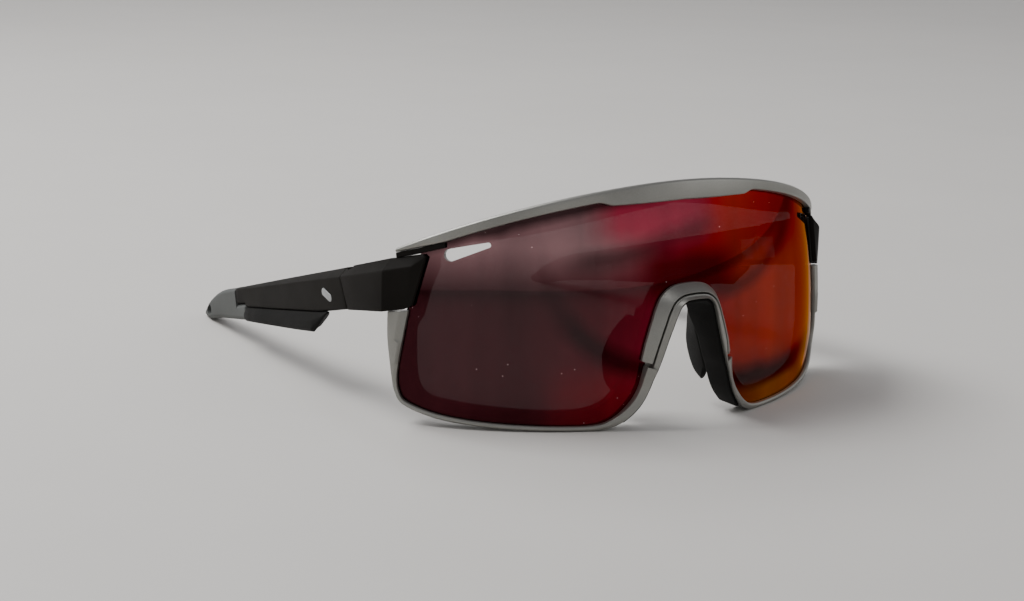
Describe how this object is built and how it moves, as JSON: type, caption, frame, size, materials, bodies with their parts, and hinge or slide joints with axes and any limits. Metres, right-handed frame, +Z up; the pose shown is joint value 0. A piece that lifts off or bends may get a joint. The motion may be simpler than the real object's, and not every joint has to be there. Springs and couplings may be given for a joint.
{
  "type": "wraparound shield sunglasses",
  "caption": "Sport sunglasses with a curved one-piece mirrored shield lens in a slim frame, folding temples with rubber grips, and hinged nose pads.",
  "frame": {"origin": "middle of the footprint on the surface that the glasses stand on", "axes": "the front faces -Y, the temples run back along +Y, and +Z is up"},
  "size_m": [0.1386, 0.174, 0.0628],
  "materials": {
    "lens": "polycarbonate with a red to amber mirror coat",
    "gunmetal": "satin gunmetal paint on nylon",
    "black_nylon": "fine matte black nylon",
    "black_rubber": "matte black rubber",
    "grey_rubber": "matte grey rubber",
    "steel": "plain steel",
    "badge": "satin grey"
  },
  "bodies": {
    "front": {"shield_lens": "lens", "lower_rim": "gunmetal", "bridge_cover": "gunmetal", "brow_bar": "gunmetal", "brow_clip_left": "black_nylon", "brow_clip_right": "black_nylon", "lens_carrier": "black_nylon", "nose_saddle": "black_rubber", "pad_pin_left": "steel", "pad_pin_right": "steel", "end_block_left": "black_nylon", "end_block_right": "black_nylon", "front_leaf_left": "steel", "front_leaf_right": "steel", "hinge_screw_left": "steel", "hinge_screw_right": "steel"},
    "left_temple": {"temple_arm_left": "black_nylon", "temple_leaf_left": "steel", "temple_grip_left": "black_rubber", "temple_tip_left": "grey_rubber", "tip_core_left": "steel", "temple_badge_left": "badge"},
    "right_temple": {"temple_arm_right": "black_nylon", "temple_leaf_right": "steel", "temple_grip_right": "black_rubber", "temple_tip_right": "grey_rubber", "tip_core_right": "steel", "temple_badge_right": "badge"},
    "left_pad": {"nose_pad_left": "black_rubber"},
    "right_pad": {"nose_pad_right": "black_rubber"}
  },
  "joints": [
    {"name": "left_temple_hinge", "type": "hinge", "parent": "front", "child": "left_temple", "pos_m": [-0.0643, -0.02458, 0.03039], "axis": [0, -0.238, -0.9713], "range_deg": [0, 90]},
    {"name": "right_temple_hinge", "type": "hinge", "parent": "front", "child": "right_temple", "pos_m": [0.0643, -0.02458, 0.03039], "axis": [0, 0.238, 0.9713], "range_deg": [0, 80]},
    {"name": "left_pad_bend", "type": "hinge", "parent": "front", "child": "left_pad", "pos_m": [-0.0086, -0.0723, 0.0266], "axis": [0.2825, 0.0066, 0.9593], "range_deg": [-8, 8]},
    {"name": "right_pad_bend", "type": "hinge", "parent": "front", "child": "right_pad", "pos_m": [0.0086, -0.0723, 0.0266], "axis": [-0.2825, 0.0066, 0.9593], "range_deg": [-8, 8]}
  ]
}
